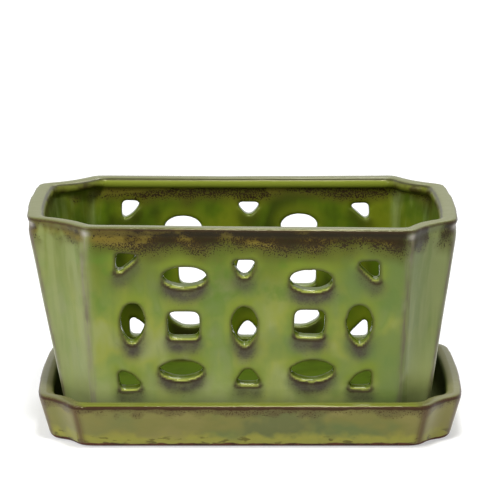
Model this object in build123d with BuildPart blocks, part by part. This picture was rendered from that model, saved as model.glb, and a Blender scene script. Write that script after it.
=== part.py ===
from build123d import *

import os
from collections import namedtuple
from math import cos, hypot, pi, sin

# Glazed stoneware orchid pot with slotted long walls, standing in a matching saucer.
# Millimetres. +Z is up, +X runs along the pot, the origin is the centre of the saucer's underside.

# Pot outline at the rim
rim_length = 216.0
rim_width = 123.0
rim_corner_length = 27.5  # end wall to the vertical ridge, along the pot
rim_corner_width = 21.5  # long wall to the end wall's corner, across the pot
rim_cove_depth = 2.8  # how far the corner is hollowed behind its chord

# Pot outline at the foot
foot_length = 185.0
foot_width = 97.0
foot_corner_length = 16.0
foot_corner_width = 12.5
foot_cove_depth = 1.6

# Pot body
pot_height = 107.5
wall = 7.0
floor_thickness = 9.0
lip_width = 9.0  # the upright lip is a little thicker than the wall under it
lip_height = 5.0
end_bow = 2.0  # the end walls swell this much at their middle
ridge_radius = 6.0
end_corner_radius = 7.0
inner_corner_radius = 9.5
rim_radius = 3.2
foot_edge_radius = 3.6
floor_radius = 6.5
floor_round_steps = 4  # facets in the round where a floor meets its wall
corner_share = 0.6  # a corner radius is at most this share of the corner's chord
edge_share = 0.4  # an edge radius is at most this share of what it rounds

# Drainage in the pot floor
drain_diameter = 15.5
drain_spacing = 73.0
drain_edge_radius = 1.5
foot_ring_width = 11.0
foot_recess = 2.5
notch_width = 12.0

# Slots, the same on both long walls: heights run along the wall, widths along the pot
triangle_margin = 20.0  # rim or floor to the centre of a triangle
oval_margin = 24.6  # rim or floor to the centre of an oval
column_pitch = 30.5  # centre column to inner column
top_side_margin = 22.1  # ridge to the outer triangles of the top row
middle_side_margin = 24.5  # ridge to the outer leaf slots
bottom_side_margin = 23.6  # ridge to the outer triangles of the bottom row
top_triangle_width = 14.4
top_triangle_height = 13.2
bottom_triangle_width = 14.8
bottom_triangle_height = 12.6
oval_width = 22.6
oval_height = 12.4
lens_width = 22.4
lens_height = 11.8
leaf_width = 12.2
leaf_height = 22.4
square_width = 15.6
square_height = 16.0
square_radius = 3.5
triangle_radius = 2.3
tip_radius = 2.0

# Saucer, set out round the foot of the pot
saucer_height = 23.7
saucer_floor = 6.5
saucer_wall = 6.0
saucer_gap = 2.5  # clearance along the long sides of the pot's foot
saucer_end_gap = 4.8  # clearance at its ends
saucer_ridge_room = 6.0  # the saucer's ridges lie this far outside the pot's
saucer_end_room = 4.0  # the same for the corners of its ends
saucer_flare = 9.0  # how far the rim stands out past the foot
saucer_rim_radius = 2.4
saucer_foot_radius = 1.2
saucer_floor_radius = 3.0

rim_z = saucer_floor + pot_height
lip_z = rim_z - lip_height
floor_z = saucer_floor + floor_thickness
wall_middle_z = (floor_z + rim_z) / 2

os.makedirs("parts", exist_ok=True)

# Half sizes: the ridge is a distance along X and the end corner a distance along Y
Outline = namedtuple("Outline", "half_length half_width ridge end cove")

pot_foot = Outline(
    foot_length / 2,
    foot_width / 2,
    foot_length / 2 - foot_corner_length,
    foot_width / 2 - foot_corner_width,
    foot_cove_depth,
)
pot_rim = Outline(
    rim_length / 2,
    rim_width / 2,
    rim_length / 2 - rim_corner_length,
    rim_width / 2 - rim_corner_width,
    rim_cove_depth,
)


# The outline of the pot's outer face at a height above the ground, up to the foot of the lip
def pot_outline(z):
    share = (z - saucer_floor) / (pot_height - lip_height)
    return Outline(*(low + (high - low) * share for low, high in zip(pot_foot, pot_rim)))


# How far a corner runs along X, along Y and along its chord
def corner_size(outline):
    run = outline.half_length - end_bow - outline.ridge
    rise = outline.half_width - outline.end
    return run, rise, hypot(run, rise)


# The outline moved inwards by one distance all round, or outwards by a negative one
def inset(outline, distance):
    run, rise, chord = corner_size(outline)
    moved = Outline(
        outline.half_length - distance,
        outline.half_width - distance,
        outline.ridge - distance * (chord - run) / rise,
        outline.end - distance * (chord - rise) / run,
        outline.cove,
    )
    return moved._replace(cove=outline.cove * corner_size(moved)[2] / chord)


# A face with straight long sides, bowed ends and hollowed corners
def coved_face(outline, ridge_round, end_round):
    run, rise, chord = corner_size(outline)
    corner_x = outline.half_length - end_bow
    cove_x = outline.ridge + run / 2 - outline.cove * rise / chord
    cove_y = outline.end + rise / 2 - outline.cove * run / chord
    with BuildSketch() as face:
        with BuildLine():
            for side in (-1, 1):
                long_y = side * outline.half_width
                Line((-outline.ridge, long_y), (outline.ridge, long_y))
                end_x = side * corner_x
                middle_x = side * outline.half_length
                ThreePointArc((end_x, -outline.end), (middle_x, 0), (end_x, outline.end))
                for across in (-1, 1):
                    start = (across * outline.ridge, long_y)
                    middle = (across * cove_x, side * cove_y)
                    finish = (across * corner_x, side * outline.end)
                    ThreePointArc(start, middle, finish)
        make_face()
        ridges = face.vertices().sort_by(lambda v: abs(v.X))[:4]
        fillet(ridges, min(ridge_round, chord * corner_share))
        ends = face.vertices().sort_by(lambda v: abs(v.X))[-4:]
        fillet(ends, min(end_round, chord * corner_share))
    return face.sketch


# Points up the round between a floor and its wall: height over the floor and reach in from the wall
def floor_round(radius):
    angles = [pi / 2 * step / floor_round_steps for step in range(floor_round_steps + 1)]
    return [(radius * (1 - cos(angle)), radius * (1 - sin(angle))) for angle in angles]


# Slot with three rounded corners
def triangle_slot(*corners):
    with BuildSketch() as slot:
        Polygon(*corners, align=None)
        fillet(slot.vertices(), triangle_radius)
    return slot.sketch


# Slot between two arcs, with its points softened
def lens_slot(width, height):
    with BuildSketch() as slot:
        with BuildLine():
            ThreePointArc((-width / 2, 0), (0, height / 2), (width / 2, 0))
            ThreePointArc((-width / 2, 0), (0, -height / 2), (width / 2, 0))
        make_face()
        fillet(slot.vertices(), tip_radius)
    return slot.sketch


# Corner triangle of the slot field: its square corner points out and away from the middle row
def corner_triangle(side, up, width, height):
    x = side * width / 2
    z = up * height / 2
    return triangle_slot((x, z), (-x, z), (x, -z))


# Centre triangle of the slot field: its point faces the middle row
def centre_triangle(up, width, height):
    z = up * height / 2
    return triangle_slot((-width / 2, z), (width / 2, z), (0, -z))


top_triangle_z = rim_z - triangle_margin
bottom_triangle_z = floor_z + triangle_margin
oval_z = rim_z - oval_margin
lens_z = floor_z + oval_margin
top_side_x = pot_outline(top_triangle_z).ridge - top_side_margin
leaf_x = pot_outline(wall_middle_z).ridge - middle_side_margin
bottom_side_x = pot_outline(bottom_triangle_z).ridge - bottom_side_margin

# Pot: one fired piece, a flared body with a thick lip, slotted long walls and a drained floor
with BuildPart() as pot:
    with BuildSketch(Plane.XY.offset(saucer_floor)):
        add(coved_face(pot_foot, ridge_radius, end_corner_radius))
    with BuildSketch(Plane.XY.offset(lip_z)):
        add(coved_face(pot_rim, ridge_radius, end_corner_radius))
    loft(ruled=True)
    with BuildSketch(Plane.XY.offset(lip_z)):
        add(coved_face(pot_rim, ridge_radius, end_corner_radius))
    extrude(amount=lip_height)
    fillet(pot.faces().sort_by(Axis.Z)[0].edges(), min(foot_edge_radius, floor_thickness * edge_share))

    # Inside, following the outer wall up from a rounded floor
    for height, reach in floor_round(floor_radius):
        with BuildSketch(Plane.XY.offset(floor_z + height)):
            inside = inset(pot_outline(floor_z + height), wall + reach)
            add(coved_face(inside, inner_corner_radius, inner_corner_radius))
    with BuildSketch(Plane.XY.offset(lip_z)):
        add(coved_face(inset(pot_rim, wall), inner_corner_radius, inner_corner_radius))
    loft(ruled=True, mode=Mode.SUBTRACT)

    # Mouth inside the lip
    with BuildSketch(Plane.XY.offset(rim_z)):
        add(coved_face(inset(pot_rim, lip_width), inner_corner_radius, inner_corner_radius))
    extrude(amount=-lip_height, mode=Mode.SUBTRACT)
    fillet(pot.faces().sort_by(Axis.Z)[-1].edges(), min(rim_radius, lip_width * edge_share))

    # Recess within the foot ring, and notches that let water out of it
    with BuildSketch(Plane.XY.offset(saucer_floor)):
        add(coved_face(inset(pot_foot, foot_ring_width), inner_corner_radius, inner_corner_radius))
    extrude(amount=foot_recess, mode=Mode.SUBTRACT)
    with BuildSketch(Plane.XY.offset(saucer_floor)):
        with GridLocations(drain_spacing, 0, 2, 1):
            Rectangle(notch_width, foot_width)
    extrude(amount=foot_recess, mode=Mode.SUBTRACT)

    # Drain holes
    with BuildSketch(Plane.XY.offset(floor_z)):
        with GridLocations(drain_spacing, 0, 2, 1):
            Circle(drain_diameter / 2)
    extrude(amount=-floor_thickness, mode=Mode.SUBTRACT)
    drain_edges = pot.edges().filter_by(GeomType.CIRCLE).filter_by_position(Axis.Z, floor_z, floor_z)
    fillet(drain_edges, drain_edge_radius)

    # Slots, cut straight through both long walls
    with BuildSketch(Plane.XZ):
        for side in (-1, 1):
            with Locations((side * top_side_x, top_triangle_z)):
                add(corner_triangle(side, 1, top_triangle_width, top_triangle_height))
            with Locations((side * bottom_side_x, bottom_triangle_z)):
                add(corner_triangle(side, -1, bottom_triangle_width, bottom_triangle_height))
            with Locations((side * column_pitch, oval_z)):
                Ellipse(oval_width / 2, oval_height / 2)
            with Locations((side * column_pitch, lens_z)):
                add(lens_slot(lens_width, lens_height))
            with Locations((side * column_pitch, wall_middle_z)):
                RectangleRounded(square_width, square_height, square_radius)
        with Locations((0, top_triangle_z)):
            add(centre_triangle(1, top_triangle_width, top_triangle_height))
        with Locations((0, bottom_triangle_z)):
            add(centre_triangle(-1, bottom_triangle_width, bottom_triangle_height))
        with Locations((-leaf_x, wall_middle_z), (0, wall_middle_z), (leaf_x, wall_middle_z)):
            add(lens_slot(leaf_height, leaf_width), rotation=90)
    extrude(amount=rim_width, both=True, mode=Mode.SUBTRACT)
pot.part.label = "pot"
export_step(pot.part, "parts/pot.step")

# Saucer: a shallow tray with the same hollowed corners, one clearance larger than the pot's foot
saucer_tray = Outline(
    pot_foot.half_length + saucer_end_gap,
    pot_foot.half_width + saucer_gap,
    pot_foot.ridge + saucer_ridge_room,
    pot_foot.end + saucer_end_room,
    foot_cove_depth,
)


# The outline of the saucer's inner face at a height above the ground
def saucer_outline(z):
    return inset(saucer_tray, -saucer_flare * (z - saucer_floor) / saucer_height)


with BuildPart() as saucer:
    for z in (0, saucer_height):
        with BuildSketch(Plane.XY.offset(z)):
            add(coved_face(inset(saucer_outline(z), -saucer_wall), ridge_radius, end_corner_radius))
    loft(ruled=True)
    fillet(saucer.faces().sort_by(Axis.Z)[0].edges(), saucer_foot_radius)

    # Tray, with a rounded floor
    for height, reach in floor_round(saucer_floor_radius):
        with BuildSketch(Plane.XY.offset(saucer_floor + height)):
            inside = inset(saucer_outline(saucer_floor + height), reach)
            add(coved_face(inside, inner_corner_radius, inner_corner_radius))
    with BuildSketch(Plane.XY.offset(saucer_height)):
        add(coved_face(saucer_outline(saucer_height), inner_corner_radius, inner_corner_radius))
    loft(ruled=True, mode=Mode.SUBTRACT)
    fillet(saucer.faces().sort_by(Axis.Z)[-1].edges(), min(saucer_rim_radius, saucer_wall * edge_share))
saucer.part.label = "saucer"
export_step(saucer.part, "parts/saucer.step")
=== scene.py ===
import math

import bpy
import bmesh
import numpy as np
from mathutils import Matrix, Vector


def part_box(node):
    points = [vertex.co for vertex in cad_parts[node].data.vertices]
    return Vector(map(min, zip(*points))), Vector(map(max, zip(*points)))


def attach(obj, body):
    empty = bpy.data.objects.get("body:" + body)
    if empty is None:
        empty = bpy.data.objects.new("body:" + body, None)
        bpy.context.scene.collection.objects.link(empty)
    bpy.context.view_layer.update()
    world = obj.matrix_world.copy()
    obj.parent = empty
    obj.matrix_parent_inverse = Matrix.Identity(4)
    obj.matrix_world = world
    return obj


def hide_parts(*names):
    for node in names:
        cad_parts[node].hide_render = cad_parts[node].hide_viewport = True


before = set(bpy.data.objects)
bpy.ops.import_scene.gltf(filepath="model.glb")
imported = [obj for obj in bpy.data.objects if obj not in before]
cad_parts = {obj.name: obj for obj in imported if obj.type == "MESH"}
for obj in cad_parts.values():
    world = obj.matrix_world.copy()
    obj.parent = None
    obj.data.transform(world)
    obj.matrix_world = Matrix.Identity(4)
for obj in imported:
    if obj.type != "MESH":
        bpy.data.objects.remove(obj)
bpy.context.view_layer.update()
mm = 0.001
potLow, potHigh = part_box("pot")
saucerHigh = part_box("saucer")[1]
print("frame loaded, pot is", [round(v / mm, 1) for v in potHigh - potLow], "mm")


def deselectAll():
    if bpy.context.object and bpy.context.object.mode != "OBJECT":
        bpy.ops.object.mode_set(mode="OBJECT")
    bpy.ops.object.select_all(action="DESELECT")


# selects these objects, with the first one active
def pick(*objects):
    deselectAll()
    for obj in objects:
        obj.select_set(True)
    bpy.context.view_layer.objects.active = objects[0]


def applyModifier(obj, kind, **settings):
    pick(obj)
    modifier = obj.modifiers.new(kind.title(), kind)
    for key, value in settings.items():
        setattr(modifier, key, value)
    bpy.ops.object.modifier_apply(modifier=modifier.name)


# turns every face outwards and leaves edit mode
def faceOutwards():
    bpy.ops.mesh.select_all(action="SELECT")
    bpy.ops.mesh.normals_make_consistent(inside=False)
    bpy.ops.object.mode_set(mode="OBJECT")


# vertex places in millimetres, and back again
def readPoints(obj):
    points = np.zeros(len(obj.data.vertices) * 3)
    obj.data.vertices.foreach_get("co", points)
    return points.reshape(-1, 3) / mm


def writePoints(obj, points):
    obj.data.vertices.foreach_set("co", (points * mm).ravel())
    obj.data.update()


# painted masks, 0 to 1 at each vertex, that the glaze reads
def paint(obj, marks):
    for name, values in marks.items():
        mask = obj.data.attributes.new(name, "FLOAT", "POINT")
        mask.data.foreach_set("value", np.clip(values, 0, 1).astype(np.float32))


# how far each vertex faces up
def upwardness(obj):
    normals = np.zeros(len(obj.data.vertices) * 3)
    obj.data.vertices.foreach_get("normal", normals)
    return normals.reshape(-1, 3)[:, 2]


def smoothStep(low, high, values):
    share = np.clip((values - low) / (high - low), 0, 1)
    return share * share * (3 - 2 * share)


# rises over one range of values and falls over the next
def between(rise, fall, values):
    return smoothStep(*rise, values) * (1 - smoothStep(*fall, values))


# 1 at zero, and fading out on both sides
def bell(values, reach):
    return np.exp(-(values / reach) ** 2)


def soften(loop, rounds):
    for _ in range(rounds):
        loop = (np.roll(loop, 1, axis=0) + 2 * loop + np.roll(loop, -1, axis=0)) / 4
    return loop


# a closed loop through corner points, spread evenly and softened
def softLoop(corners, count, rounds):
    loop = np.vstack([corners, corners[:1]])
    steps = np.hypot(*np.diff(loop, axis=0).T)
    along = np.concatenate([[0], np.cumsum(steps)])
    places = np.linspace(0, along[-1], count, endpoint=False)
    spread = [np.interp(places, along, loop[:, axis]) for axis in (0, 1)]
    return soften(np.column_stack(spread), rounds)


farAway = 1e9   # further off than any point, in millimetres
tiny = 1e-12   # keeps a division from zero


# how far flat points lie from a closed loop, negative inside it
def loopDistance(points, loop):
    nearest = np.full(len(points), farAway)
    inside = np.zeros(len(points), bool)
    for start, stop in zip(loop, np.roll(loop, -1, axis=0)):
        edge = stop - start
        share = np.clip((points - start) @ edge / max(edge @ edge, tiny), 0, 1)
        gap = points - start - share[:, None] * edge
        nearest = np.minimum(nearest, np.hypot(gap[:, 0], gap[:, 1]))
        crosses = (start[1] > points[:, 1]) != (stop[1] > points[:, 1])
        reach = start[0] + (points[:, 1] - start[1]) * edge[0] / (edge[1] if edge[1] else tiny)
        inside ^= crosses & (points[:, 0] < reach)
    return np.where(inside, -nearest, nearest)


# the outline that pot and saucer share: long walls, bowed ends and hollowed corners
outline = {
    "wallSteps": 62, "coveSteps": 13, "endSteps": 31,   # points on a long wall, a corner, an end
    "endBow": 2.0,   # how far an end bows out, in millimetres
}
outlineRuns = [outline[name] for name in ("wallSteps", "coveSteps", "endSteps", "coveSteps")] * 2


# one side of the outline, bowed out by the depth, or hollowed where that is negative
def stretch(start, stop, steps, depth):
    share = np.arange(steps)[:, None] / steps
    start, stop = np.array(start), np.array(stop)
    across = np.array([stop[1] - start[1], start[0] - stop[0]]) / np.hypot(*(stop - start))
    return start + (stop - start) * share + across * depth * 4 * share * (1 - share)


# anticlockwise from the front left ridge
def covedRing(size, inset=0.0):
    run = size["halfLength"] - outline["endBow"] - size["ridge"]
    rise = size["halfWidth"] - size["end"]
    chord = math.hypot(run, rise)
    ridge = size["ridge"] - inset * ((chord - run) / rise - size.get("spread", 0))
    end = size["end"] - inset * (chord - rise) / run
    width = size["halfWidth"] - inset
    reach = size["halfLength"] - outline["endBow"] - inset
    right, left = reach - size["lean"], -reach - size["lean"]   # both ends lean to the left
    ridgeRight, ridgeLeft = ridge + size["sway"], -ridge + size["sway"]
    corners = [(ridgeLeft, -width), (ridgeRight, -width), (right, -end), (right, end),
               (ridgeRight, width), (ridgeLeft, width), (left, end), (left, -end)]
    depths = [0, -size["cove"], outline["endBow"], -size["cove"]] * 2
    sides = zip(corners, corners[1:] + corners[:1], outlineRuns, depths)
    return soften(np.vstack([stretch(*side) for side in sides]), size["soft"])


def blendSize(low, high, share):
    blended = {key: low[key] + (high[key] - low[key]) * share for key in low}
    return {**blended, "soft": low["soft"]}   # a count stays whole


# heights and insets along an arc of a wall's profile, angles in degrees
def arcLevels(centreZ, centreIn, radius, start, stop, steps=5):
    angles = [math.radians(start + (stop - start) * step / steps) for step in range(steps + 1)]
    return [(centreZ + radius * math.sin(a), centreIn - radius * math.cos(a)) for a in angles]


# a ring is laid on the first level, then extruded from level to level and filled at both ends
def buildShell(name, levels, sizeAt):
    deselectAll()
    bpy.ops.mesh.primitive_circle_add(vertices=sum(outlineRuns), radius=potHigh.x)
    obj = bpy.context.object
    obj.name = obj.data.name = name
    bpy.ops.object.mode_set(mode="EDIT")
    mesh = bmesh.from_edit_mesh(obj.data)
    number = mesh.verts.layers.int.new("number")
    for index, vert in enumerate(mesh.verts):
        vert[number] = index
    for step, (z, inset) in enumerate(levels):
        if step:
            bpy.ops.mesh.extrude_edges_move()
        ring = covedRing(sizeAt(z), inset)
        mesh = bmesh.from_edit_mesh(obj.data)
        number = mesh.verts.layers.int["number"]
        for vert in mesh.verts:
            if vert.select:
                vert.co = Vector((*ring[vert[number]], z)) * mm
        bmesh.update_edit_mesh(obj.data)
    bpy.ops.mesh.edge_face_add()   # inner floor
    bpy.ops.mesh.select_all(action="DESELECT")
    bpy.ops.mesh.select_non_manifold()   # the first ring is all that is open
    bpy.ops.mesh.edge_face_add()
    faceOutwards()
    return obj


# one skin with softened edges
def smoothSkin(obj, size):
    applyModifier(obj, "REMESH", mode="VOXEL", voxel_size=size["voxel"] * mm, use_smooth_shade=True)
    applyModifier(obj, "SMOOTH", factor=0.5, iterations=size["smoothTurns"])


# a straight-sided cutter: a flat loop pushed through the wall, start and stop as y and rise
def wallCutter(loop, start, stop):
    deselectAll()
    bpy.ops.mesh.primitive_circle_add(vertices=len(loop), radius=potHigh.x, fill_type="NGON")
    cutter = bpy.context.object
    for vert, (x, z) in zip(cutter.data.vertices, loop):
        vert.co = Vector((x, start[0], z + start[1])) * mm
    bpy.ops.object.mode_set(mode="EDIT")
    bpy.ops.mesh.select_all(action="SELECT")
    push = (0, (stop[0] - start[0]) * mm, (stop[1] - start[1]) * mm)
    bpy.ops.mesh.extrude_region_move(TRANSFORM_OT_translate={"value": push})
    faceOutwards()
    return cutter


def cutAway(obj, cutters):
    pick(*cutters)
    bpy.ops.object.join()
    joined = bpy.context.object
    applyModifier(obj, "BOOLEAN", operation="DIFFERENCE", object=joined, solver="EXACT")
    bpy.data.objects.remove(joined)


# pot: sizes in millimetres
pot = {
    "footZ": potLow.z / mm,
    "rimZ": potHigh.z / mm + 1.0,
    "lipHeight": 4.6,
    "lipWidth": 9.0,
    "rimRound": 1.2,   # outer edge of the rim
    "rimUnder": -45,   # the angle where that round starts, under the edge
    "lipRound": 3.4,   # inner edge of the rim
    "lipStep": 0.8,   # height over which the lip runs back into the wall inside
    "neck": 1.3,   # the wall draws in under the rim
    "neckSteps": ((7.0, 0.15), (5.4, 0.75), (4.0, 1.0)),   # how far below the rim, and share of the neck
    "wall": 7.0,
    "wallRises": (22, 48, 70, 82, 88),   # levels of the walls, above the floor
    "innerSpread": 0.55,   # the hollowed corners are narrower inside, towards the rim
    "spreadRise": (20, 70),   # where that starts and is full, above the floor
    "spreadEnd": 0.1,   # and it ends this far below the lip
    "floor": 9.0,
    "floorRound": 6.5,
    "footRound": 3.2,
    "footRing": 11.0,
    "ringSlant": 0.8,   # the inner side of the foot ring slants
    "recess": 2.5,
    "drainRadius": 7.75,
    "drainX": 36.5,
    "drainSteps": 48,
    "notchWidth": 12.0,
    "voxel": 1.06,
    "smoothTurns": 4,
    "triangles": 192000,   # after the floor and the ends are thinned out
}
potRim = {
    "halfLength": potHigh.x / mm + 0.5, "halfWidth": potHigh.y / mm,
    "ridge": 80.85, "end": 40.0, "cove": 2.8, "lean": 3.1, "sway": -1.25,
    "soft": 2,   # rounds of softening on the upright ridges
}
potFoot = {
    "halfLength": 93.0, "halfWidth": 48.5,
    "ridge": 76.85, "end": 36.0, "cove": 1.6, "lean": 0.6, "sway": -1.25,
    "soft": 2,
}
swayTop = (97.0, 112.0)   # the ridges straighten up again between these heights
potLipZ = pot["rimZ"] - pot["lipHeight"]
potFloorZ = pot["footZ"] + pot["floor"]


def potSizeAt(z):
    share = (min(z, potLipZ) - pot["footZ"]) / (potLipZ - pot["footZ"])
    size = blendSize(potFoot, potRim, share)
    size["sway"] *= 1 - float(smoothStep(*swayTop, z))
    if z < potLipZ - pot["spreadEnd"]:
        start, full = pot["spreadRise"]
        size["spread"] = pot["innerSpread"] * float(smoothStep(potFloorZ + start, potFloorZ + full, z))
    return size


def potOuterRing(z):
    return covedRing(potSizeAt(z))


def potInnerRing(z):
    return covedRing(potSizeAt(z), pot["wall"])


def potLevels():
    foot, rim, lip, wall = pot["footZ"], pot["rimZ"], pot["lipWidth"], pot["wall"]
    edge, lipEdge = pot["rimRound"], pot["lipRound"]
    floorEdge, footEdge = pot["floorRound"], pot["footRound"]
    levels = [(foot + pot["recess"], pot["footRing"]), (foot, pot["footRing"] - pot["ringSlant"])]
    levels += arcLevels(foot + footEdge, footEdge, footEdge, -90, 0)
    levels += [(potFloorZ + rise, 0) for rise in pot["wallRises"]]
    levels += [(rim - drop, share * pot["neck"]) for drop, share in pot["neckSteps"]]
    levels += arcLevels(rim - edge, edge, edge, pot["rimUnder"], 90)
    levels += arcLevels(rim - lipEdge, lip - lipEdge, lipEdge, 90, 180)
    levels += [(potLipZ, lip), (potLipZ - pot["lipStep"], wall)]
    levels += [(potFloorZ + rise, wall) for rise in reversed(pot["wallRises"][:-1])]
    levels += arcLevels(potFloorZ + floorEdge, wall + floorEdge, floorEdge, 0, -90)
    return levels


# slots as they were cut by hand: kind, x and z of the middle, width, height, turn in degrees, and for
# three-cornered ones which way their square side lies in x and z and how far the long side bulges
slotCuts = {
    "front": [
        ("corner", -60.1, 97.0, 9.6, 9.2, -4, (-1, 1, 0.22)),
        ("oval", -31.6, 90.0, 21.7, 10.8, 1, None),
        ("point", -2.2, 94.6, 10.8, 8.0, 1, (1, 1, 0)),
        ("oval", 30.7, 88.7, 21.2, 11.4, -1, None),
        ("corner", 59.0, 93.7, 9.4, 9.8, 3, (1, 1, 0.22)),
        ("leaf", -57.6, 65.1, 12.0, 22.4, -2, None),
        ("square", -32.3, 64.7, 15.6, 14.3, 0, None),
        ("leaf", -2.1, 63.7, 12.8, 21.8, 1, None),
        ("square", 30.0, 65.6, 14.9, 14.5, -2, None),
        ("leaf", 54.8, 64.8, 12.8, 22.0, 2, None),
        ("corner", -59.4, 35.2, 9.8, 9.2, 5, (-1, -1, 0.42)),
        ("lens", -33.6, 40.6, 23.2, 10.4, 0, None),
        ("point", -0.4, 36.9, 11.5, 7.8, 0, (1, -1, 0)),
        ("lens", 31.5, 40.3, 22.8, 11.2, 2, None),
        ("corner", 55.5, 35.5, 10.0, 9.0, -2, (1, -1, 0.42)),
    ],
    "back": [
        ("corner", -61.8, 97.5, 8.8, 9.0, -2, (-1, 1, 0.34)),
        ("oval", -33.8, 87.9, 19.9, 12.4, 0, None),
        ("point", 1.7, 98.4, 11.2, 6.2, 0, (1, 1, 0)),
        ("oval", 28.6, 89.1, 19.7, 12.6, 1, None),
        ("corner", 61.4, 96.6, 9.2, 8.2, 2, (1, 1, 0.22)),
        ("leaf", -56.2, 63.4, 12.4, 23.0, 1, None),
        ("square", -29.4, 65.0, 14.8, 16.0, 1, None),
        ("leaf", 0.4, 63.0, 12.4, 22.0, -1, None),
        ("square", 29.4, 64.7, 15.4, 16.2, 0, None),
        ("leaf", 55.6, 63.2, 12.4, 22.2, -1, None),
        ("corner", -59.3, 34.1, 9.2, 9.4, 2, (-1, -1, 0.42)),
        ("lens", -31.6, 40.3, 22.8, 12.6, -1, None),
        ("point", -0.4, 32.9, 11.6, 8.2, 0, (1, -1, 0)),
        ("lens", 27.8, 40.5, 22.6, 12.4, 0, None),
        ("corner", 59.4, 33.0, 9.6, 9.3, 0, (1, -1, 0.2)),
    ],
}
slotForm = {
    "steps": 44,   # points round a slot
    "soften": {"corner": 4, "point": 5, "square": 6, "leaf": 3, "lens": 3, "oval": 0},
    "swell": 1.08,   # softening draws a three-cornered slot in, so it starts larger
    "cornerTip": (0.55, 0.62),   # blunt tips, as shares of half the width and height
    "pointShoulder": (0.86, 0.3), "pointTip": 0.26,
    "lensEnd": 1.35, "leafFoot": 2.0, "leafTop": 0.85,   # powers, over 1 pointed and under 1 blunt
}


# outline of a three-cornered slot in shares of half its width and height
def threeCorners(kind, bulge):
    if kind == "corner":
        tipX, tipZ = slotForm["cornerTip"]
        return [(1, 1), (-1, 1), (-1, tipZ), (-bulge, -bulge), (tipX, -1), (1, -1)]
    tip = slotForm["pointTip"]
    shoulderX, shoulderZ = slotForm["pointShoulder"]
    return [(-1, 1), (1, 1), (shoulderX, shoulderZ), (tip, -1), (-tip, -1), (-shoulderX, shoulderZ)]


# the sine of each angle, pinched or swollen by a power
def pinch(angles, power):
    return np.sign(np.sin(angles)) * np.abs(np.sin(angles)) ** power


def slotLoop(kind, x, z, width, height, turn, way):
    w, h = width / 2, height / 2
    angles = np.linspace(0, 2 * math.pi, slotForm["steps"], endpoint=False)
    if kind in ("corner", "point"):
        sideX, sideZ, bulge = way
        swell = slotForm["swell"]
        corners = np.array(threeCorners(kind, bulge)) * (sideX * w * swell, sideZ * h * swell)
    elif kind == "square":
        corners = np.array([(-w, -h), (w, -h), (w, h), (-w, h)])
    elif kind == "oval":
        corners = np.column_stack([w * np.cos(angles), h * np.sin(angles)])
    elif kind == "lens":
        corners = np.column_stack([w * np.cos(angles), h * pinch(angles, slotForm["lensEnd"])])
    else:   # a leaf is round above and pointed below
        above, below = pinch(angles, slotForm["leafTop"]), pinch(angles, slotForm["leafFoot"])
        half = np.where(np.cos(angles) > 0, above, below)
        corners = np.column_stack([-w * half, h * np.cos(angles)])
    loop = softLoop(corners, slotForm["steps"], slotForm["soften"][kind])
    a = math.radians(turn)
    turned = loop @ np.array([(math.cos(a), math.sin(a)), (-math.sin(a), math.cos(a))])
    return turned + (x, z)


slotReach = {"out": 14.0, "in": 24.0}   # how far a cutter stands out of the wall and goes in


# slots meet the outer face at their own height: the front ones square to the leaning wall, the back level
def slotCutter(cut, side):
    slope = (potRim["halfWidth"] - potFoot["halfWidth"]) / (potLipZ - pot["footZ"])
    face = potFoot["halfWidth"] + slope * (cut[2] - pot["footZ"])
    rise = slope if side < 0 else 0.0
    start = (side * (face + slotReach["out"]), -rise * slotReach["out"])
    stop = (side * (face - slotReach["in"]), rise * slotReach["in"])
    return wallCutter(slotLoop(*cut), start, stop)


sliceHeight = 1.5   # walls are measured in level slices


# middle height of each slice, and which points lie in it
def slices(points):
    layers = np.floor(points[:, 2] / sliceHeight).astype(int)
    for number in np.unique(layers):
        yield (number + 0.5) * sliceHeight, np.flatnonzero(layers == number)


# how deep points lie behind a face
def wallDepth(points, ringAt):
    depth = np.zeros(len(points))
    for z, here in slices(points):
        depth[here] = -loopDistance(points[here, :2], ringAt(z))
    return depth


# how far points lie from the eight upright ridges of a face
def ridgeGap(points, ringAt):
    gap = np.full(len(points), farAway)
    starts = np.cumsum([0] + outlineRuns[:-1])
    for z, here in slices(points):
        for corner in ringAt(z)[starts]:
            gap[here] = np.minimum(gap[here], np.hypot(*(points[here, :2] - corner).T))
    return gap


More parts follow.
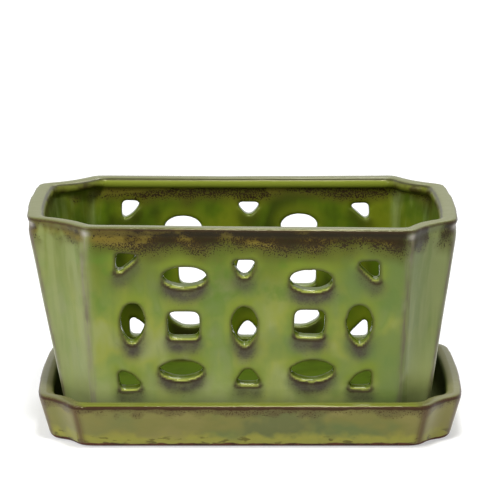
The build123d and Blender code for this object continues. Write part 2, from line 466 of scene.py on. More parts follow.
# where the glaze ran, pooled, broke and stained, and where shade, light and highlights are painted:
# millimetres, and facings from 0 upright to 1 level
potMarks = {
    "inside": (2.5, 5.0), "outside": (0.6, 2.2),   # depth behind the outer face
    "slotReach": 16.0,   # no mark lies further from its slot
    "haloRise": 2.6, "haloReach": 4.2,   # yellow glow above a slot
    "stainDrop": 4.4, "stainReach": 4.0,   # smoky stain below a slot
    "stainWidth": 0.8, "smallStain": 0.7,   # narrower than its slot, and weaker below small ones
    "below": (0.6, 2.4),   # where marks below a slot begin
    "onWall": (20, 28),   # keeps the marks off the floor
    "tunnel": (0.5, 1.6), "tunnelGap": 2.0,   # the wall's thickness inside a slot
    "lipGap": 0.4, "lipReach": 1.0,   # dark lip round a slot
    "lineGap": 1.4, "lineWidth": 0.8,   # dark line under a lower lip, part dark glaze and part painted shade
    "lineDepth": (0.3, 1.4),
    "sill": (0.2, 0.7), "sillDepth": (0.3, 1.3),   # lower side of a slot, part pooled glaze and part painted light on its upward faces, and its front edge, a painted highlight
    "ridgeReach": 2.0, "innerRidgeReach": 1.2,
    "beadDrop": 3.6, "beadReach": 1.2,   # painted highlight: a pale glint on a ridge just under the rim
    "wallEnd": (-7, 1),   # the long wall's glaze ends here, from the ridge
    "floorSink": 2.0, "floor": (0.75, 0.97),
    "floorEdge": ((0.3, 0.6), (0.85, 0.98)),
    "drainReach": 1.3, "drainRise": 2.0,   # brown edge of a drain hole, with painted shade down its sides
    "bare": (0.7, 1.6),   # height of the bare clay at the foot
    "under": (4, 6), "underRise": 1.0, "underFacing": 0.2,   # bare clay within the foot ring
    "rimDrop": 4.0, "rimTop": (0.5, 0.85),
    "rimEdge": ((-0.3, 0.2), (0.6, 0.88)), "rimEdgeDepth": 3.0,
    # the dark line on the rim's inner edge: part brown glaze, part painted dark reflection
    "rimInner": ((0.55, 0.72), (0.84, 0.94)), "rimInnerDepth": 4.5,
}


# nearest slot edge, glow above, stain below and dark line under the lower lip, part dark glaze and part
# painted shade, slot by slot
def slotMarks(flat, cuts):
    reach = potMarks["slotReach"]
    marks = {name: np.zeros(len(flat)) for name in ("halo", "stain", "lowLip")}
    marks["gap"] = np.full(len(flat), reach)
    for cut in cuts:
        loop = slotLoop(*cut)
        low, high = loop.min(axis=0) - reach, loop.max(axis=0) + reach
        near = np.flatnonzero(((flat > low) & (flat < high)).all(axis=1))
        gap = loopDistance(flat[near], loop)
        gapAbove = loopDistance(flat[near], loop + (0, potMarks["haloRise"]))
        middle = loop.mean(axis=0)
        smear = (loop - middle) * (potMarks["stainWidth"], 1) + middle - (0, potMarks["stainDrop"])
        gapBelow = loopDistance(flat[near], smear)
        below = smoothStep(*potMarks["below"], gapAbove - gap)
        strength = potMarks["smallStain"] if cut[0] in ("corner", "point") else 1.0
        found = {
            "halo": bell(np.maximum(gapAbove, 0), potMarks["haloReach"]),
            "stain": bell(np.maximum(gapBelow, 0), potMarks["stainReach"]) * below * strength,
            "lowLip": bell(gap - potMarks["lineGap"], potMarks["lineWidth"]) * below,
        }
        for name, values in found.items():
            marks[name][near] = np.maximum(marks[name][near], values)
        marks["gap"][near] = np.minimum(marks["gap"][near], gap)
    return marks


# marks that follow the slots
def paintSlots(body, points, depth, upward):
    flat = points[:, [0, 2]]
    front, back = slotMarks(flat, slotCuts["front"]), slotMarks(flat, slotCuts["back"])
    marks = {name: np.where(points[:, 1] < 0, front[name], back[name]) for name in front}
    onWall = smoothStep(*potMarks["onWall"], np.abs(points[:, 1]))
    inWall = smoothStep(*potMarks["tunnel"], np.minimum(depth, pot["wall"] - depth))
    tunnel = inWall * (marks["gap"] < potMarks["tunnelGap"]) * onWall
    lip = bell(marks["gap"] - potMarks["lipGap"], potMarks["lipReach"]) * (1 - tunnel) * onWall
    # the upward faces of a slot are painted lighter: part pooled glaze, part painted light
    sill = smoothStep(*potMarks["sill"], upward) * np.maximum(tunnel, lip) * (points[:, 2] < potLipZ)
    paint(body, {
        "tunnel": tunnel, "sill": sill,
        "halo": marks["halo"] * onWall,
        "stain": marks["stain"] * onWall,
        "lip": lip * (1 - smoothStep(*potMarks["outside"], depth)),
        "lowLip": marks["lowLip"] * onWall * (1 - smoothStep(*potMarks["lineDepth"], depth)),
        "sillLip": sill * (1 - smoothStep(*potMarks["sillDepth"], depth)),
    })


# marks that follow the walls, the floor and the foot
def paintWalls(body, points, depth, upward):
    x, y, z = points.T
    inside = smoothStep(*potMarks["inside"], depth)
    outside = 1 - smoothStep(*potMarks["outside"], depth)
    ridges = bell(ridgeGap(points, potOuterRing), potMarks["ridgeReach"])
    innerRidges = bell(ridgeGap(points, potInnerRing), potMarks["innerRidgeReach"])
    fromRidge = np.abs(x) - potRim["ridge"]
    onFloor = inside * (z > potFloorZ - potMarks["floorSink"]) * (z < potFloorZ + pot["floorRound"])
    drainGap = np.hypot(np.abs(x) - pot["drainX"], y) - pot["drainRadius"]
    inRing = z < pot["footZ"] + pot["recess"] + potMarks["underRise"]
    under = inRing * smoothStep(*potMarks["under"], depth) * (upward < potMarks["underFacing"])
    bare = 1 - smoothStep(*potMarks["bare"], z - pot["footZ"])
    paint(body, {
        "inside": inside, "ridge": ridges * outside, "innerRidge": innerRidges * inside,
        "longWall": 1 - smoothStep(*potMarks["wallEnd"], fromRidge),
        "bead": ridges * (1 - inside) * bell(pot["rimZ"] - potMarks["beadDrop"] - z, potMarks["beadReach"]),
        "floor": onFloor * smoothStep(*potMarks["floor"], upward),
        "floorEdge": onFloor * between(*potMarks["floorEdge"], upward),
        "drain": bell(drainGap, potMarks["drainReach"]) * (z < potFloorZ + potMarks["drainRise"]),
        "bare": np.maximum(bare, under),
    })


def paintRim(body, points, depth, upward):
    onRim = points[:, 2] > pot["rimZ"] - potMarks["rimDrop"]
    paint(body, {
        "rimTop": onRim * smoothStep(*potMarks["rimTop"], upward),
        "rimEdge": onRim * between(*potMarks["rimEdge"], upward) * (depth < potMarks["rimEdgeDepth"]),
        "rimInner": onRim * between(*potMarks["rimInner"], upward) * (depth > potMarks["rimInnerDepth"]),
    })


# a hand-built pot is never true: the back leans left and its rim bows in, and the walls are a little wavy
warp = {
    "backLeft": 2.1, "backBow": 2.0, "frontTilt": 0.8,
    "frontRise": 0.5, "riseFrom": (12, 2),   # the front rim stands a little higher, between these drops
    "endKept": 4.0,   # the right end stays where it is
    "waveSize": 60.0, "waveDepth": 0.7,
}


def warpPot(body):
    points = readPoints(body)
    x, y, z = points.T   # changes to these go into the points
    lift = smoothStep(pot["footZ"], pot["rimZ"], z)
    toBack = y / potRim["halfWidth"] * 0.5 + 0.5
    keepEnd = 1 - smoothStep(potRim["ridge"], potRim["halfLength"] - warp["endKept"], x)
    x -= warp["backLeft"] * toBack * lift * keepEnd
    z -= warp["frontTilt"] * np.clip(x / potRim["ridge"], -1, 1) * (1 - toBack) * lift ** 2
    low, high = [pot["rimZ"] - drop for drop in warp["riseFrom"]]
    z += warp["frontRise"] * (1 - toBack) * smoothStep(low, high, z)
    bow = np.cos(np.clip(x / potRim["halfLength"], -1, 1) * math.pi / 2)
    y -= warp["backBow"] * bow * lift * smoothStep(0, potRim["halfWidth"], y)
    writePoints(body, points)
    waves = bpy.data.textures.new("wallWaves", "CLOUDS")
    waves.noise_scale = warp["waveSize"] * mm
    applyModifier(body, "DISPLACE", texture=waves, texture_coords="LOCAL", strength=warp["waveDepth"] * mm)


slottedPart = {"fromMiddle": 38.0, "pastRidge": 3.0, "belowLip": 4.0}   # walls and rim that keep all faces


# floor, ends and underside need fewer faces than the slotted walls
def thinOut(body):
    x, y, z = readPoints(body).T
    wallEnd = potRim["ridge"] + slottedPart["pastRidge"]
    onWall = (np.abs(y) > slottedPart["fromMiddle"]) & (np.abs(x) < wallEnd)
    plain = ~onWall & (z < potLipZ - slottedPart["belowLip"])
    group = body.vertex_groups.new(name="plain")
    group.add(np.flatnonzero(plain).tolist(), 1.0, "REPLACE")
    share = pot["triangles"] / (2 * len(body.data.polygons))
    applyModifier(body, "DECIMATE", ratio=share, vertex_group="plain", vertex_group_factor=1.0)
    body.vertex_groups.clear()


# a drain hole through the floor, and the notches in front of it and behind it in the foot ring
def drainCutters(side):
    x = side * pot["drainX"] * mm
    spot = (x, 0, (pot["footZ"] + pot["floor"] / 2) * mm)
    bpy.ops.mesh.primitive_cylinder_add(
        vertices=pot["drainSteps"], radius=pot["drainRadius"] * mm,
        depth=pot["floor"] * 2 * mm, location=spot)
    cutters = [bpy.context.object]
    notch = (pot["notchWidth"] * mm, pot["footRing"] * 3 * mm, pot["recess"] * 2 * mm)
    for front in (-1, 1):
        gap = (x, front * potFoot["halfWidth"] * mm, pot["footZ"] * mm)
        bpy.ops.mesh.primitive_cube_add(size=1, location=gap)
        bpy.ops.transform.resize(value=notch)
        cutters.append(bpy.context.object)
    return cutters


def makePot():
    body = buildShell("potBody", potLevels(), potSizeAt)
    cutters = [slotCutter(cut, -1) for cut in slotCuts["front"]]
    cutters += [slotCutter(cut, 1) for cut in slotCuts["back"]]
    cutAway(body, cutters + drainCutters(-1) + drainCutters(1))
    smoothSkin(body, pot)
    thinOut(body)
    points, upward = readPoints(body), upwardness(body)
    depth = wallDepth(points, potOuterRing)
    for paintPart in (paintSlots, paintWalls, paintRim):
        paintPart(body, points, depth, upward)
    warpPot(body)
    print("pot shell", len(body.data.polygons), "faces")
    return body


# saucer: sizes in millimetres
saucer = {
    "rimZ": saucerHigh.z / mm + 1.2,
    "floorZ": potLow.z / mm,
    "wall": 5.0,
    "rimWidth": 8.0,
    "flare": 9.0,
    "rimRound": 2.2,
    "footRound": 3.0,
    "endSteep": 2.8,   # how much further out the foot of an end stands
    "floorRound": 3.0,
    "footRing": 14.0,
    "ringSlant": 1.5,   # the inner side of the foot ring slants
    "recess": 1.0,
    "waist": 0.5,   # share of the height where the wall is thinnest
    "shoulder": (0.7, 0.6),   # share of the height where it thickens, and by how much
    "voxel": 1.05,
    "smoothTurns": 4,
}
saucerTray = {
    "halfLength": 97.7, "halfWidth": 50.2,
    "ridge": 84.9, "end": 39.6, "cove": 3.2, "lean": -0.5, "sway": 0.7,
    "soft": 6,   # rounds of softening on the upright ridges
}


def saucerSizeAt(z):
    steep = saucer["endSteep"] * (1 - z / saucer["rimZ"])
    return {**saucerTray, "halfLength": saucerTray["halfLength"] + steep}


def saucerInset(z, inset):
    return inset - saucer["wall"] - saucer["flare"] * (z - saucer["floorZ"]) / saucer["rimZ"]


def saucerOuterRing(z):
    return covedRing(saucerSizeAt(z), saucerInset(z, 0.0))


def saucerLevels():
    rim, wall, floor = saucer["rimZ"], saucer["wall"], saucer["floorZ"]
    edge, footEdge, floorEdge = saucer["rimRound"], saucer["footRound"], saucer["floorRound"]
    waist = rim * saucer["waist"]
    shoulder, thicker = saucer["shoulder"]
    levels = [(saucer["recess"], saucer["footRing"]), (0.0, saucer["footRing"] - saucer["ringSlant"])]
    levels += arcLevels(footEdge, footEdge, footEdge, -90, 0)
    levels += [(waist, 0)]
    levels += arcLevels(rim - edge, edge, edge, 0, 90)
    levels += arcLevels(rim - edge, saucer["rimWidth"] - edge, edge, 90, 180)
    levels += [(rim * shoulder, wall + thicker), (waist, wall)]
    levels += arcLevels(floor + floorEdge, wall + floorEdge, floorEdge, 0, -90)
    return [(z, saucerInset(z, inset)) for z, inset in levels]


# as for the pot
saucerMarks = {
    "ridgeReach": 2.3,
    "inside": (3.0, 5.0), "outside": (0.8, 2.4), "floorSink": 2.0,
    "rimDrop": 3.5, "rimTop": (0.6, 0.88),
    "wallEnd": (-4, 4),
    "underRise": 2.0, "under": (3, 5),
}


def paintSaucer(tray):
    points, upward = readPoints(tray), upwardness(tray)
    x, z = points[:, 0], points[:, 2]
    depth = wallDepth(points, saucerOuterRing)
    outside = 1 - smoothStep(*saucerMarks["outside"], depth)
    ridges = bell(ridgeGap(points, saucerOuterRing), saucerMarks["ridgeReach"])
    aboveFloor = z > saucer["floorZ"] - saucerMarks["floorSink"]
    onRim = z > saucer["rimZ"] - saucerMarks["rimDrop"]
    fromRidge = np.abs(x) - saucerTray["ridge"]
    paint(tray, {
        "inside": smoothStep(*saucerMarks["inside"], depth) * aboveFloor,
        "ridge": ridges * outside,
        "rimTop": smoothStep(*saucerMarks["rimTop"], upward) * onRim,
        "longWall": 1 - smoothStep(*saucerMarks["wallEnd"], fromRidge),
        "under": (z < saucerMarks["underRise"]) * smoothStep(*saucerMarks["under"], depth),
    })


def makeSaucer():
    tray = buildShell("saucerTray", saucerLevels(), saucerSizeAt)
    smoothSkin(tray, saucer)
    paintSaucer(tray)
    print("saucer shell", len(tray.data.polygons), "faces")
    return tray


potBody = makePot()
saucerBody = makeSaucer()
pieces = (
    (potBody, "pot", "pot", "pot_glaze"),
    (saucerBody, "saucer", "saucer", "saucer_glaze"),
)
for piece, node, body, slot in pieces:
    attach(piece, body)
    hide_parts(node)


# from a channel as seen on screen, 0 to 255, to light
def toLight(channel):
    share = channel / 255
    return share / 12.92 if share <= 0.04045 else ((share + 0.055) / 1.055) ** 2.4


def toneSet(**shades):
    return {name: (*[toLight(channel) for channel in shade], 1) for name, shade in shades.items()}


drawing = {}   # holds the node tree that is being drawn


def newMaterial(name):
    material = bpy.data.materials.new(name)
    material.use_nodes = True
    drawing["tree"] = material.node_tree
    return material, material.node_tree.nodes["Principled BSDF"]


def link(value, socket):
    drawing["tree"].links.new(value, socket)


def addNode(kind, **settings):
    made = drawing["tree"].nodes.new("ShaderNode" + kind)
    for key, value in settings.items():
        setattr(made, key, value)
    return made


# a socket is linked, anything else is set
def feed(sockets, values):
    for socket, value in zip(sockets, values):
        if isinstance(value, bpy.types.NodeSocket):
            link(value, socket)
        else:
            socket.default_value = value


def calc(operation, *values):
    made = addNode("Math", operation=operation)
    feed(made.inputs, values)
    return made.outputs[0]


# product of any number of shares
def both(first, *others):
    for other in others:
        first = calc("MULTIPLY", first, other)
    return first


def fade(value, low, high, start=0.0, stop=1.0):
    made = addNode("MapRange", interpolation_type="SMOOTHSTEP")
    feed(made.inputs, (value, low, high, start, stop))
    return made.outputs[0]


def layer(share, under, over):
    made = addNode("Mix", data_type="RGBA")
    feed([made.inputs[index] for index in (0, 6, 7)], (share, under, over))
    return made.outputs[2]


def ramp(value, stops):
    made = addNode("ValToRGB")
    elements = made.color_ramp.elements
    while len(elements) < len(stops):
        elements.new(0.5)
    for element, (place, colour) in zip(elements, stops):
        element.position = place
        element.color = colour
    feed([made.inputs[0]], [value])
    return made.outputs[0]


# soft noise with patches about this many millimetres wide, drawn out or squeezed by axis
def patches(width, detail, draw=(1, 1, 1), shift=0.0):
    coords = addNode("TexCoord").outputs["Object"]
    mapping = addNode("Mapping")
    mapping.inputs["Location"].default_value = (shift, shift * 0.7, shift * 1.3)   # uneven, to miss repeats
    mapping.inputs["Scale"].default_value = [1 / d for d in draw]
    noise = addNode("TexNoise")
    link(coords, mapping.inputs["Vector"])
    feed([noise.inputs[name] for name in ("Vector", "Scale", "Detail")],
         (mapping.outputs[0], 1 / (width * mm), detail))
    return noise.outputs[0]


# the same noise, faded between two of its levels
def mottle(width, detail, draw, shift, levels):
    return fade(patches(width, detail, draw, shift), *levels)


def painted(name):
    return addNode("Attribute", attribute_name=name).outputs["Fac"]


# share of the corners and ends, which is all but the long walls
def atEnds():
    return calc("SUBTRACT", 1.0, painted("longWall"))


# a place along one axis in millimetres
def along(axis):
    split = addNode("SeparateXYZ")
    link(addNode("TexCoord").outputs["Object"], split.inputs[0])
    return calc("DIVIDE", split.outputs[axis], mm)


# lays coats over a colour one after another, each a share and a colour or the name of a tone
def coats(tones, colour, *others):
    for share, over in others:
        colour = layer(share, colour, tones[over] if isinstance(over, str) else over)
    return colour


glaze = toneSet(
    grey=(126, 136, 90), green=(112, 132, 62), yellow=(138, 146, 64),
    pale=(142, 150, 92), streak=(98, 114, 60), upper=(92, 108, 26),
    low=(160, 170, 104), fresh=(82, 116, 30), right=(98, 120, 62),
    # the pale corner tone is a painted reflection, laid in vertical streaks
    corner=(144, 152, 98), halo=(118, 134, 40),
    stain=(69, 65, 56), stainFleck=(52, 43, 36),
    olive=(76, 74, 20), tan=(104, 90, 34), brown=(52, 36, 9), dark=(20, 9, 3),
    # the near-white tone is a painted highlight, a glint on the ridges just under the rim
    fleck=(36, 24, 10), bead=(206, 200, 192),
    # the browner ridge tone at the ends is part brown glaze, part painted dark reflection
    ridge=(130, 127, 102), ridgeDark=(104, 99, 78), ridgeEnd=(98, 82, 70),
    # the darkest rim tone, for the inner edge, is part brown glaze and part painted dark reflection
    rim=(94, 97, 52), rimEdge=(52, 36, 24), rimInner=(30, 24, 8),
    lipFace=(118, 128, 40), lipEnd=(50, 42, 16),
    deep=(72, 92, 12), deepYellow=(100, 110, 20), deepDark=(48, 60, 8),
    innerStain=(38, 38, 8), innerStreak=(112, 126, 62),
    floor=(82, 106, 18), floorEdge=(66, 60, 16), lip=(64, 57, 34),
    # under a slot a dark line, part glaze and part painted shade; its lower side part pooled glaze and part
    # painted light; its front edge a painted highlight
    lowLip=(40, 24, 10), sill=(86, 100, 26), sillLip=(166, 172, 80),
    clay=(92, 54, 42), clayDark=(60, 36, 30),
)

# flecks of iron: width in millimetres, noise level where they are few, how far it drops, softness of an edge
flecks = {"width": 0.66, "detail": 0.5, "few": 0.72, "many": 0.28, "soft": 0.09, "start": (0.02, 0.2)}


# denser where the share is higher
def fleckShare(share, shift=0.0):
    grain = patches(flecks["width"], flecks["detail"], shift=shift)
    level = calc("SUBTRACT", flecks["few"], both(share, flecks["many"]))
    over = calc("SUBTRACT", grain, level)
    return both(fade(over, 0.0, flecks["soft"]), fade(share, *flecks["start"]))


# coats on painted masks, from rows of mask, share and tone
def touches(rows):
    return [(both(painted(mask), share), name) for mask, share, name in rows]


# all noise is given as width in millimetres, detail, drawing out by axis, shift, and levels if it fades
even = (1, 1, 1)
outerNoise = {
    "cloud": (26, 3, (1, 1, 1.6)),
    "streaks": (8, 3, (1, 1, 6), 0.3),
    "fresh": (15, 4, even, 2.8, (0.5, 0.64, 0, 0.6)),
    "drift": (20, 2, even, 1.9, (0.3, 0.7, -40, 40)),
    "thinRuns": (5, 2, (1, 1, 12), 0.8, (0.36, 0.62, 0.35, 0.7)),
    "halo": (12, 2, even, 0.5, (0.32, 0.6, 0.3, 0.8)),
    "smoke": (6, 3, even, 0.2, (0.3, 0.6, 0.8, 1.0)),
}
outerTones = [(0.36, glaze["grey"]), (0.46, glaze["green"]), (0.54, glaze["yellow"]), (0.64, glaze["pale"])]
outerFades = {
    "darkStreaks": (0.5, 0.68, 0, 0.4), "paleStreaks": (0.46, 0.34, 0, 0.4),
    "upper": (66, 100, 0, 0.85), "low": (52, 28, 0, 0.5),   # by height
    "fresh": (60, 85), "cornerLow": (62, 30),   # by height
    "right": (10, 80, 0, 0.75), "cornerRight": (60, 85, 0, 0.75),   # by place along the wall
}
stainFlecks = {"dense": 0.8, "shift": 0.1, "share": 0.35}


def outerGlaze(height):
    across, corners = along("X"), atEnds()
    streaks = patches(*outerNoise["streaks"])
    fresh = both(mottle(*outerNoise["fresh"]), fade(height, *outerFades["fresh"]))
    toRight = calc("ADD", across, mottle(*outerNoise["drift"]))
    lowDown = fade(height, *outerFades["cornerLow"])
    onRight = fade(across, *outerFades["cornerRight"])
    halo = both(painted("halo"), mottle(*outerNoise["halo"]))
    stain = both(painted("stain"), mottle(*outerNoise["smoke"]))
    specks = fleckShare(both(stain, stainFlecks["dense"]), stainFlecks["shift"])
    return coats(
        glaze, ramp(patches(*outerNoise["cloud"]), outerTones),
        (fade(streaks, *outerFades["darkStreaks"]), "streak"),
        (fade(streaks, *outerFades["paleStreaks"]), "yellow"),
        (fade(height, *outerFades["upper"]), "upper"),
        (fade(height, *outerFades["low"]), "low"),
        (fresh, "fresh"),
        (fade(toRight, *outerFades["right"]), "right"),
        # painted reflection: pale vertical streaks on the corners and ends
        (both(corners, mottle(*outerNoise["thinRuns"])), "corner"),
        (both(corners, lowDown, onRight), "low"),   # painted light: a lighter tone low on the right corners
        (halo, "halo"),
        (stain, "stain"),
        (both(specks, stainFlecks["share"]), "stainFleck"),
    )


# brown band under the rim: pairs are where a coat ends and is full, in reaches of the band
band = {
    "outer": {"reach": 8.0, "solid": 0.92, "line": 0.95},
    "inner": {"reach": 5.5, "solid": 0.3, "line": 0.0}, "innerDrop": 4.0,   # it starts under the lip
    "wander": (30, 2, even, 0.6), "sag": 22.0,   # its lower edge goes up and down
    "corners": (14, 2, even, 2.3, (0.42, 0.58, 0.15, 0.85)),
    "wash": (13, 3, (1.6, 1, 0.8), 0.9),
    "tones": [(0.4, glaze["dark"]), (0.5, glaze["brown"]), (0.6, glaze["tan"])],
    "darker": (-70, 70, -0.07, 0.1),   # it runs darker to the right
    "oliveEnd": (2.3, 0.9), "oliveShare": 0.85,
    "washEnd": (1.3, 0.6), "fleckEnd": (1.8, 0.7), "clearEnd": (1.1, 0.7),
    "clear": (0.5, 0.58), "clearFlecks": 0.3,   # few flecks on the pale wash
    "lineDrop": (4.4, 2.8), "lineBreak": (0.44, 0.6), "lineKept": 0.25,   # the line breaks up there too
}


# long walls have all of it, the corners a part: a dark line just under the rim, part dark glaze and part
# painted shade, a brown wash and flecks that thin out downwards
def rimBand(colour, drop, reach, solid, line):
    def until(value, name):
        return fade(value, *[reach * share for share in band[name]])

    wander = calc("SUBTRACT", patches(*band["wander"]), 0.5)
    sag = calc("SUBTRACT", drop, both(wander, band["sag"]))
    wall = calc("MAXIMUM", painted("longWall"), mottle(*band["corners"]))
    darker = fade(along("X"), *band["darker"])
    wash = calc("SUBTRACT", patches(*band["wash"]), darker)
    clear = both(fade(wash, *band["clear"]), until(drop, "clearEnd"))
    dense = both(until(sag, "fleckEnd"), wall, fade(clear, 0, 1, 1.0, band["clearFlecks"]))
    lineShare = fade(wash, *band["lineBreak"], line, line * band["lineKept"])
    return coats(
        glaze, colour,
        (both(until(sag, "oliveEnd"), wall, band["oliveShare"]), "olive"),
        (both(until(sag, "washEnd"), wall, solid), ramp(wash, band["tones"])),
        (fleckShare(dense), "fleck"),
        # dark line just under the rim: part dark glaze, part painted shade
        (both(fade(drop, *band["lineDrop"]), wall, lineShare), "dark"),
    )


innerNoise = {
    "cloud": (22, 3, (1, 1, 1.5), 1.1),
    "runs": (3, 3, (1, 1, 16), 1.5, (0.46, 0.66, 0.05, 0.5)),
    "pool": (16, 3, even, 3.4, (0.35, 0.6, 0.35, 0.9)),
    "lip": (10, 3, even, 1.2, (0.38, 0.58, 0.95, 0.45)),
}
innerTones = [(0.38, glaze["deepDark"]), (0.5, glaze["deep"]), (0.64, glaze["deepYellow"])]
innerTouches = [("halo", 0.6, "deepYellow"), ("innerRidge", 0.5, "streak"), ("stain", 0.85, "innerStain")]
floorEdgeShare = 0.8
lipDrop = (5.6, 4.6)   # lower edge of the lip's inner face, below the rim


def innerGlaze(drop):
    ends, pool = atEnds(), mottle(*innerNoise["pool"])
    colour = coats(
        glaze, ramp(patches(*innerNoise["cloud"]), innerTones),
        *touches(innerTouches),
        # pale vertical streaks on the inside of the corners and ends
        (both(ends, mottle(*innerNoise["runs"])), "innerStreak"),
        (both(painted("floor"), pool), "floor"),
        (both(painted("floorEdge"), pool, floorEdgeShare), "floorEdge"),
    )
    colour = rimBand(colour, calc("SUBTRACT", drop, band["innerDrop"]), **band["inner"])
    lipBrown = both(ends, mottle(*innerNoise["lip"]))   # browner at corners and ends
    lipTone = layer(lipBrown, glaze["lipFace"], glaze["lipEnd"])
    return layer(fade(drop, *lipDrop), colour, lipTone)


# thick glaze is smooth, bare clay is not
finish = {
    "clay": (6, 4, even, 0.0, (0.4, 0.62)),
    "gloss": (18, 3, even, 0.35, (0.3, 0.7, 0.09, 0.2)),
    "dull": (30, 20, 0.3, 0.85),   # the inside is duller towards the floor
    "ridgeRough": 0.42, "endRough": 0.36, "clayRough": 0.75,   # thin on ridges, satin on corners and ends
    "specular": 0.5, "tint": (0.45, 0.42, 0.26, 1),
    "peel": (5, 2), "finePeel": (1.2, 1), "fineShare": 0.2,   # ripples in the surface
    "peelDepth": 0.2, "peelStrength": 0.6,
}


def finishGlaze(shader, colour, bare):
    clay = layer(mottle(*finish["clay"]), glaze["clay"], glaze["clayDark"])
    link(layer(bare, colour, clay), shader.inputs["Base Color"])
    rough = mottle(*finish["gloss"])
    dull = both(painted("inside"), fade(along("Z"), *finish["dull"]))
    ridges = both(painted("ridge"), finish["ridgeRough"])
    for other in (dull, ridges, both(atEnds(), finish["endRough"])):
        rough = calc("MAXIMUM", rough, other)
    link(fade(bare, 0, 1, rough, finish["clayRough"]), shader.inputs["Roughness"])
    shader.inputs["Specular IOR Level"].default_value = finish["specular"]
    shader.inputs["Specular Tint"].default_value = finish["tint"]
    fine = both(patches(*finish["finePeel"]), finish["fineShare"])
    peel = calc("ADD", patches(*finish["peel"]), fine)
    bump = addNode("Bump")
    feed([bump.inputs[name] for name in ("Strength", "Distance", "Height")],
         (finish["peelStrength"], finish["peelDepth"] * mm, peel))
    link(bump.outputs[0], shader.inputs["Normal"])


ridgeLook = {
    "mix": (16, 2, even, 1.7), "toRight": (-60, 60, -0.06, 0.12), "dark": (0.4, 0.6),
    "ends": (85, 92, 0, 0.85),   # browner at the ends, part brown glaze and part painted dark reflection
    "runs": (1.6, 2, (1, 1, 14), 0.9, (0.38, 0.6, 0.45, 1.0)),
    "breaks": (9, 3, (1, 1, 3), 0.0, (0.3, 0.6, 0.6, 1.0)),
    "bead": 0.9,
}


def ridgeGlaze(colour):
    across = along("X")
    mix = calc("ADD", patches(*ridgeLook["mix"]), fade(across, *ridgeLook["toRight"]))
    ridgeTone = layer(fade(mix, *ridgeLook["dark"]), glaze["ridge"], glaze["ridgeDark"])
    outward = calc("ABSOLUTE", across)
    ridgeTone = layer(fade(outward, *ridgeLook["ends"]), ridgeTone, glaze["ridgeEnd"])
    broken = both(mottle(*ridgeLook["runs"]), mottle(*ridgeLook["breaks"]))
    return coats(
        glaze, colour,
        (both(painted("ridge"), broken), ridgeTone),
        # painted highlight: a pale glint on each ridge just under the rim
        (both(painted("bead"), ridgeLook["bead"]), "bead"),
    )


# over all of it, in this order
potTouches = [
    # a drain hole's edge and sides are part brown glaze, part painted shade
    ("tunnel", 1.0, "deep"), ("drain", 0.85, "dark"),
    # under a slot a dark line, part glaze and part painted shade; its lower side part pooled glaze and part
    # painted light; its front edge a painted highlight
    ("lip", 0.68, "lip"), ("lowLip", 0.95, "lowLip"), ("sill", 1.0, "sill"), ("sillLip", 1.0, "sillLip"),
    # the rim's inner edge line is part brown glaze, part painted dark reflection
    ("rimTop", 1.0, "rim"), ("rimEdge", 0.8, "rimEdge"), ("rimInner", 0.8, "rimInner"),
]


def potGlaze():
    material, shader = newMaterial("potGlaze")
    height = along("Z")
    drop = calc("SUBTRACT", pot["rimZ"], height)
    outer = rimBand(outerGlaze(height), drop, **band["outer"])
    outer = ridgeGlaze(outer)
    colour = layer(painted("inside"), outer, innerGlaze(drop))
    colour = coats(glaze, colour, *touches(potTouches))
    finishGlaze(shader, colour, painted("bare"))
    return material


saucerTones = toneSet(
    green=(108, 120, 68), olive=(128, 126, 66), khaki=(138, 132, 74),
    low=(156, 154, 66), blotch=(92, 104, 64), pit=(84, 76, 34),
    ridge=(92, 68, 44), edge=(58, 34, 20), underEdge=(96, 84, 52),
    # the tray tone is green glaze, darkened as painted shade under the pot
    rim=(112, 118, 46), rimEnd=(102, 101, 62), tray=(62, 70, 18),
)
saucerNoise = {
    "cloud": (24, 3, (1.6, 1, 1), 2.0),
    "blotch": (12, 2, even, 3.7, (0.3, 0.7, -9, 9)),
    "wave": (9, 2, even, 0.9, (0.3, 0.7, -2, 2)),
    "smudges": (5, 3, (1.8, 1, 0.7), 4.1, (0.56, 0.64, 0, 0.75)),
    "edge": (9, 2, even, 3.1, (0.3, 0.7, -0.2, 0.5)),
    "clay": (8, 2, even, 1.4, (0.3, 0.7, -0.4, 0.5)),
}
saucerCloud = [(0.36, saucerTones["green"]), (0.46, saucerTones["olive"]), (0.58, saucerTones["khaki"])]
saucerFades = {
    "toLeft": (-20, -90, 0, 0.7), "blotch": (26, 6, 0, 0.7),   # a darker blotch, by how far from its middle
    "low": (10, 4, 0, 0.9), "smudges": (7.5, 5.5), "clay": (3.0, 2.3),   # by height
    "underEdge": (7, 2.5, 0, 0.8), "specks": (8, 3, 0, 0.55), "edge": (2.9, 2.0),   # below the rim
}
saucerShares = {"pits": 0.8, "ridge": 0.85, "specks": 0.7}
blotchX = 16.0
speckShift = 0.4
pits = {
    "cell": 12.0, "radius": 1.2, "ring": (0.6, 0.2), "height": (7.0, 5.0),
    "gate": (30, 2, even, 2.6, (0.46, 0.52)),   # only here and there
}


# little burst bubbles near the foot
def pitRings(height):
    cells = addNode("TexVoronoi")
    cells.inputs["Scale"].default_value = 1 / (pits["cell"] * mm)
    link(addNode("TexCoord").outputs["Object"], cells.inputs["Vector"])
    fromMiddle = both(cells.outputs["Distance"], pits["cell"])
    away = calc("ABSOLUTE", calc("SUBTRACT", fromMiddle, pits["radius"]))
    gate = mottle(*pits["gate"])
    return both(fade(away, *pits["ring"]), gate, fade(height, *pits["height"]))


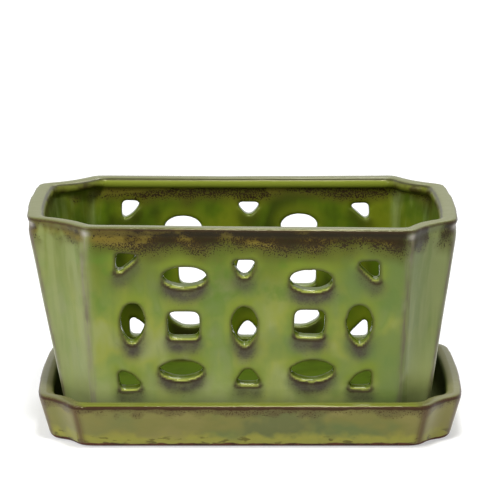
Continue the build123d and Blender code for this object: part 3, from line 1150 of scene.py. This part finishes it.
def saucerOuterGlaze(height, drop):
    across = along("X")
    aside = calc("ABSOLUTE", calc("SUBTRACT", across, blotchX))
    aside = calc("ADD", aside, mottle(*saucerNoise["blotch"]))
    wave = mottle(*saucerNoise["wave"])
    wavyHeight, wavyDrop = [calc("ADD", level, wave) for level in (height, drop)]
    smudges = both(mottle(*saucerNoise["smudges"]), fade(height, *saucerFades["smudges"]))
    specks = fleckShare(fade(wavyDrop, *saucerFades["specks"]), speckShift)
    edgeDrop = calc("ADD", drop, mottle(*saucerNoise["edge"]))
    return coats(
        saucerTones, ramp(patches(*saucerNoise["cloud"]), saucerCloud),
        (fade(across, *saucerFades["toLeft"]), "khaki"),
        (fade(aside, *saucerFades["blotch"]), "blotch"),
        (fade(wavyHeight, *saucerFades["low"]), "low"),
        (both(pitRings(height), saucerShares["pits"]), "pit"),
        (smudges, "pit"),
        (fade(wavyDrop, *saucerFades["underEdge"]), "underEdge"),
        (both(painted("ridge"), saucerShares["ridge"]), "ridge"),
        (both(specks, saucerShares["specks"]), "edge"),
        (fade(edgeDrop, *saucerFades["edge"]), "edge"),
    )


def saucerGlaze():
    material, shader = newMaterial("saucerGlaze")
    height = along("Z")
    drop = calc("SUBTRACT", saucer["rimZ"], height)
    rim = layer(painted("longWall"), saucerTones["rimEnd"], saucerTones["rim"])
    colour = coats(
        saucerTones, saucerOuterGlaze(height, drop),
        # the saucer's inside: green glaze, darkened as painted shade under the pot
        (painted("inside"), "tray"),
        (painted("rimTop"), rim),
    )
    clayEdge = calc("ADD", height, mottle(*saucerNoise["clay"]))
    bare = calc("MAXIMUM", fade(clayEdge, *saucerFades["clay"]), painted("under"))
    finishGlaze(shader, colour, bare)
    return material


for piece, material in ((potBody, potGlaze()), (saucerBody, saucerGlaze())):
    piece.data.materials.clear()
    piece.data.materials.append(material)
print("glazed")

# camera at the photograph's angle, lens for its 500 pixel square frame
view = {"place": (0.0005, -1.1052, 0.379), "tilt": 90 - 14.71, "lens": 159.5, "sensor": 36}
camera = bpy.data.objects.new("camera", bpy.data.cameras.new("camera"))
camera.location = view["place"]
camera.rotation_euler = (math.radians(view["tilt"]), 0, 0)
camera.data.lens = view["lens"]
camera.data.sensor_width = view["sensor"]
bpy.context.scene.collection.objects.link(camera)
bpy.context.scene.camera = camera
bpy.context.scene.view_settings.view_transform = "Standard"

# a pale floor in metres: lamps fall off with distance, and its glow makes up for that
stage = {"size": 12.0, "albedo": 0.58, "rough": 0.9, "glow": 0.46, "farGlow": 0.85, "glowReach": (0.25, 1.8)}
white = (1, 1, 1, 1)

# soft boxes: place, aim, width, watts
lamps = {
    "fill": 0.26,
    "boxes": {
        "keyLeft": ((-0.75, -0.95, 0.95), (0, 0, 0.06), 0.28, 12.2),
        "topBox": ((0.05, -0.45, 1.25), (0, 0, 0.05), 0.22, 11.5),
        "fillRight": ((0.9, -0.8, 0.6), (0, 0, 0.06), 0.4, 1.0),
        "backBox": ((0.25, 0.85, 1.3), (0, 0, 0.05), 0.6, 10.0),
    },
}


# 1 for what the camera sees, also in reflections and through glass
def seenShare():
    path = addNode("LightPath")
    seen = calc("MAXIMUM", path.outputs["Is Camera Ray"], path.outputs["Is Glossy Ray"])
    return calc("MAXIMUM", seen, path.outputs["Is Transmission Ray"])


# white to the camera and in reflections, and keeps the shadow
def makeFloor():
    deselectAll()
    bpy.ops.mesh.primitive_plane_add(size=stage["size"])
    floor = bpy.context.object
    floor.name = "floor"
    material, shader = newMaterial("floorPaper")
    shader.inputs["Base Color"].default_value = (*[stage["albedo"]] * 3, 1)
    shader.inputs["Roughness"].default_value = stage["rough"]
    shader.inputs["Specular IOR Level"].default_value = 0.0
    shader.inputs["Emission Color"].default_value = white
    away = addNode("VectorMath", operation="LENGTH")
    link(addNode("TexCoord").outputs["Object"], away.inputs[0])
    glow = fade(away.outputs["Value"], *stage["glowReach"], stage["glow"], stage["farGlow"])
    link(both(seenShare(), glow), shader.inputs["Emission Strength"])
    floor.data.materials.append(material)


def makeWorld():
    world = bpy.data.worlds.new("studio")
    bpy.context.scene.world = world
    world.use_nodes = True
    drawing["tree"] = world.node_tree
    background = world.node_tree.nodes["Background"]
    background.inputs["Color"].default_value = white
    link(fade(seenShare(), 0, 1, lamps["fill"], 1.0), background.inputs["Strength"])


def makeLamps():
    for name, (place, aim, width, watts) in lamps["boxes"].items():
        bpy.ops.object.light_add(type="AREA", location=place)
        lamp = bpy.context.object
        lamp.name = name
        lamp.rotation_euler = (Vector(aim) - Vector(place)).to_track_quat("-Z", "Y").to_euler()
        lamp.data.size = width
        lamp.data.energy = watts


makeFloor()
makeWorld()
makeLamps()
print("stage lit")
